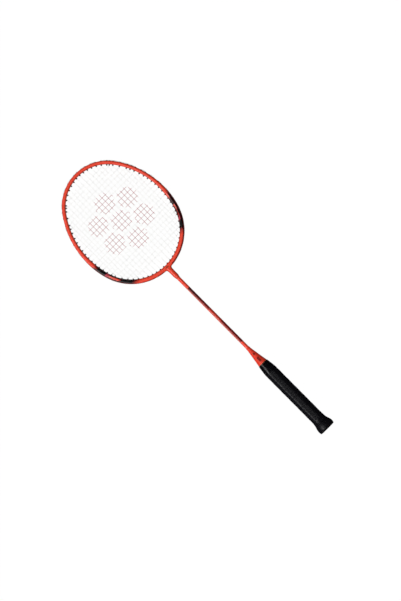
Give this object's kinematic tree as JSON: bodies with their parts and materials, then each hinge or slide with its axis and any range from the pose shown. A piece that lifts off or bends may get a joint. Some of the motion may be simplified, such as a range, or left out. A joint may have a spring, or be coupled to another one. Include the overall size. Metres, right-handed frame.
{
  "type": "badminton racket",
  "caption": "Strung badminton racket: oval grooved hoop with bushed string holes, woven string bed, slim tube shaft, tapered cone and wrapped flared handle.",
  "frame": {"origin": "centre of the butt's flat end face", "axes": "+X along the racket from the butt to the hoop's tip, +Y across the head, +Z square to the string bed; the strings' plane and the shaft's axis are at z = 0"},
  "size_m": [0.6748, 0.2059, 0.0342],
  "materials": {
    "hoop_paint": "glossy orange-red lacquer over a moulded tube, with black panels at the lower sides",
    "joint_paint": "glossy orange-red lacquer",
    "shaft_paint": "glossy orange-red lacquer with a dark printed panel",
    "cone_plastic": "satin orange moulding",
    "core_wood": "bare sanded wood",
    "grip_wrap": "matt black perforated synthetic leather",
    "finish_tape": "smooth black tape",
    "butt_cap": "black moulding",
    "badge": "plain black disc with thin raised rings",
    "string": "white braided nylon with a plain red stencil across the middle",
    "grommet": "black nylon"
  },
  "bodies": {
    "root": {"head_frame": "hoop_paint", "t_joint": "joint_paint", "shaft": "shaft_paint", "cone_cap": "cone_plastic", "handle_core": "core_wood", "grip_wrap": "grip_wrap", "grip_tape": "finish_tape", "butt_cap": "butt_cap", "butt_badge": "badge", "main_string": "string", "cross_string": "string", "crown_grommets": "grommet", "upper_grommets_left": "grommet", "upper_grommets_right": "grommet", "side_grommets_left": "grommet", "side_grommets_right": "grommet", "lower_grommets_left": "grommet", "lower_grommets_right": "grommet", "throat_grommets": "grommet"}
  },
  "joints": []
}
